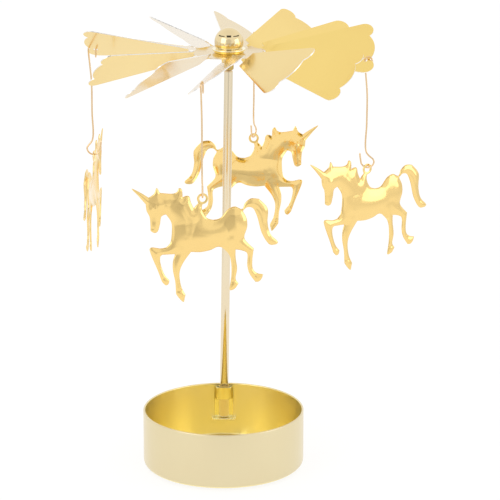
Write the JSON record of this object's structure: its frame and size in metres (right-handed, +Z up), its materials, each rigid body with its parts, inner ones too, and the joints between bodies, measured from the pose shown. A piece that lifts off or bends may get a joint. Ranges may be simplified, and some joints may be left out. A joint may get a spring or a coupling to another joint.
{
  "type": "candle carousel",
  "caption": "Gold metal candle carousel: a tealight cup with a pole, a bladed rotor and hanging stamped unicorns.",
  "frame": {"origin": "the cup's axis, at the top of the cup's floor, where the tealight stands", "axes": "+Z up, +Y from the cup's axis towards the pole, +X to the right as seen from the front"},
  "size_m": [0.1331, 0.1158, 0.1668],
  "materials": {
    "champagne_metal": "satin",
    "gold_metal": "polished",
    "deep_gold_metal": "polished",
    "steel": "polished"
  },
  "bodies": {
    "base": {"cup": "champagne_metal", "pole_clip": "deep_gold_metal"},
    "pole_body": {"pole": "gold_metal", "pole_collar": "deep_gold_metal", "needle": "steel"},
    "rotor_body": {"rotor": "gold_metal", "dome_cap": "gold_metal", "cap_ring": "deep_gold_metal", "hub_cone": "deep_gold_metal", "bearing_cup": "steel"},
    "right_hook_body": {"right_hook": "gold_metal"},
    "rear_hook_body": {"rear_hook": "gold_metal"},
    "left_hook_body": {"left_hook": "gold_metal"},
    "front_hook_body": {"front_hook": "gold_metal"},
    "right_charm_body": {"right_charm": "gold_metal"},
    "rear_charm_body": {"rear_charm": "gold_metal"},
    "left_charm_body": {"left_charm": "gold_metal"},
    "front_charm_body": {"front_charm": "gold_metal"}
  },
  "joints": [
    {"name": "pole_lift", "type": "slide", "parent": "base", "child": "pole_body", "axis": [0.0157, 0, 0.9999], "range_m": [0, 0.015]},
    {"name": "rotor_spin", "type": "hinge", "parent": "pole_body", "child": "rotor_body", "pos_m": [0.00239, 0.02878, 0.15983], "axis": [0, 0, 1], "continuous": true},
    {"name": "right_hook_swing", "type": "hinge", "parent": "rotor_body", "child": "right_hook_body", "pos_m": [0.05549, 0.01909, 0.15419], "axis": [-0.2588, -0.9659, 0], "range_deg": [-12, 40]},
    {"name": "rear_hook_swing", "type": "hinge", "parent": "rotor_body", "child": "rear_hook_body", "pos_m": [0.01235, 0.08165, 0.15166], "axis": [0.9962, 0.0872, 0], "range_deg": [-12, 40]},
    {"name": "left_hook_swing", "type": "hinge", "parent": "rotor_body", "child": "left_hook_body", "pos_m": [-0.05066, 0.03869, 0.15475], "axis": [0.0872, 0.9962, 0], "range_deg": [-12, 40]},
    {"name": "front_hook_swing", "type": "hinge", "parent": "rotor_body", "child": "front_hook_body", "pos_m": [-0.00735, -0.02429, 0.15375], "axis": [-0.9659, 0.2588, 0], "range_deg": [-12, 40]},
    {"name": "right_charm_turn", "type": "hinge", "parent": "right_hook_body", "child": "right_charm_body", "pos_m": [0.05549, 0.01909, 0.11179], "axis": [0, 0, 1], "range_deg": [-7, 93]},
    {"name": "rear_charm_turn", "type": "hinge", "parent": "rear_hook_body", "child": "rear_charm_body", "pos_m": [0.01235, 0.08165, 0.10926], "axis": [0, 0, 1], "range_deg": [-74, 26]},
    {"name": "left_charm_turn", "type": "hinge", "parent": "left_hook_body", "child": "left_charm_body", "pos_m": [-0.05066, 0.03869, 0.11235], "axis": [0, 0, 1], "range_deg": [-50, 50]},
    {"name": "front_charm_turn", "type": "hinge", "parent": "front_hook_body", "child": "front_charm_body", "pos_m": [-0.00735, -0.02429, 0.11135], "axis": [0, 0, 1], "range_deg": [-61, 39]}
  ]
}
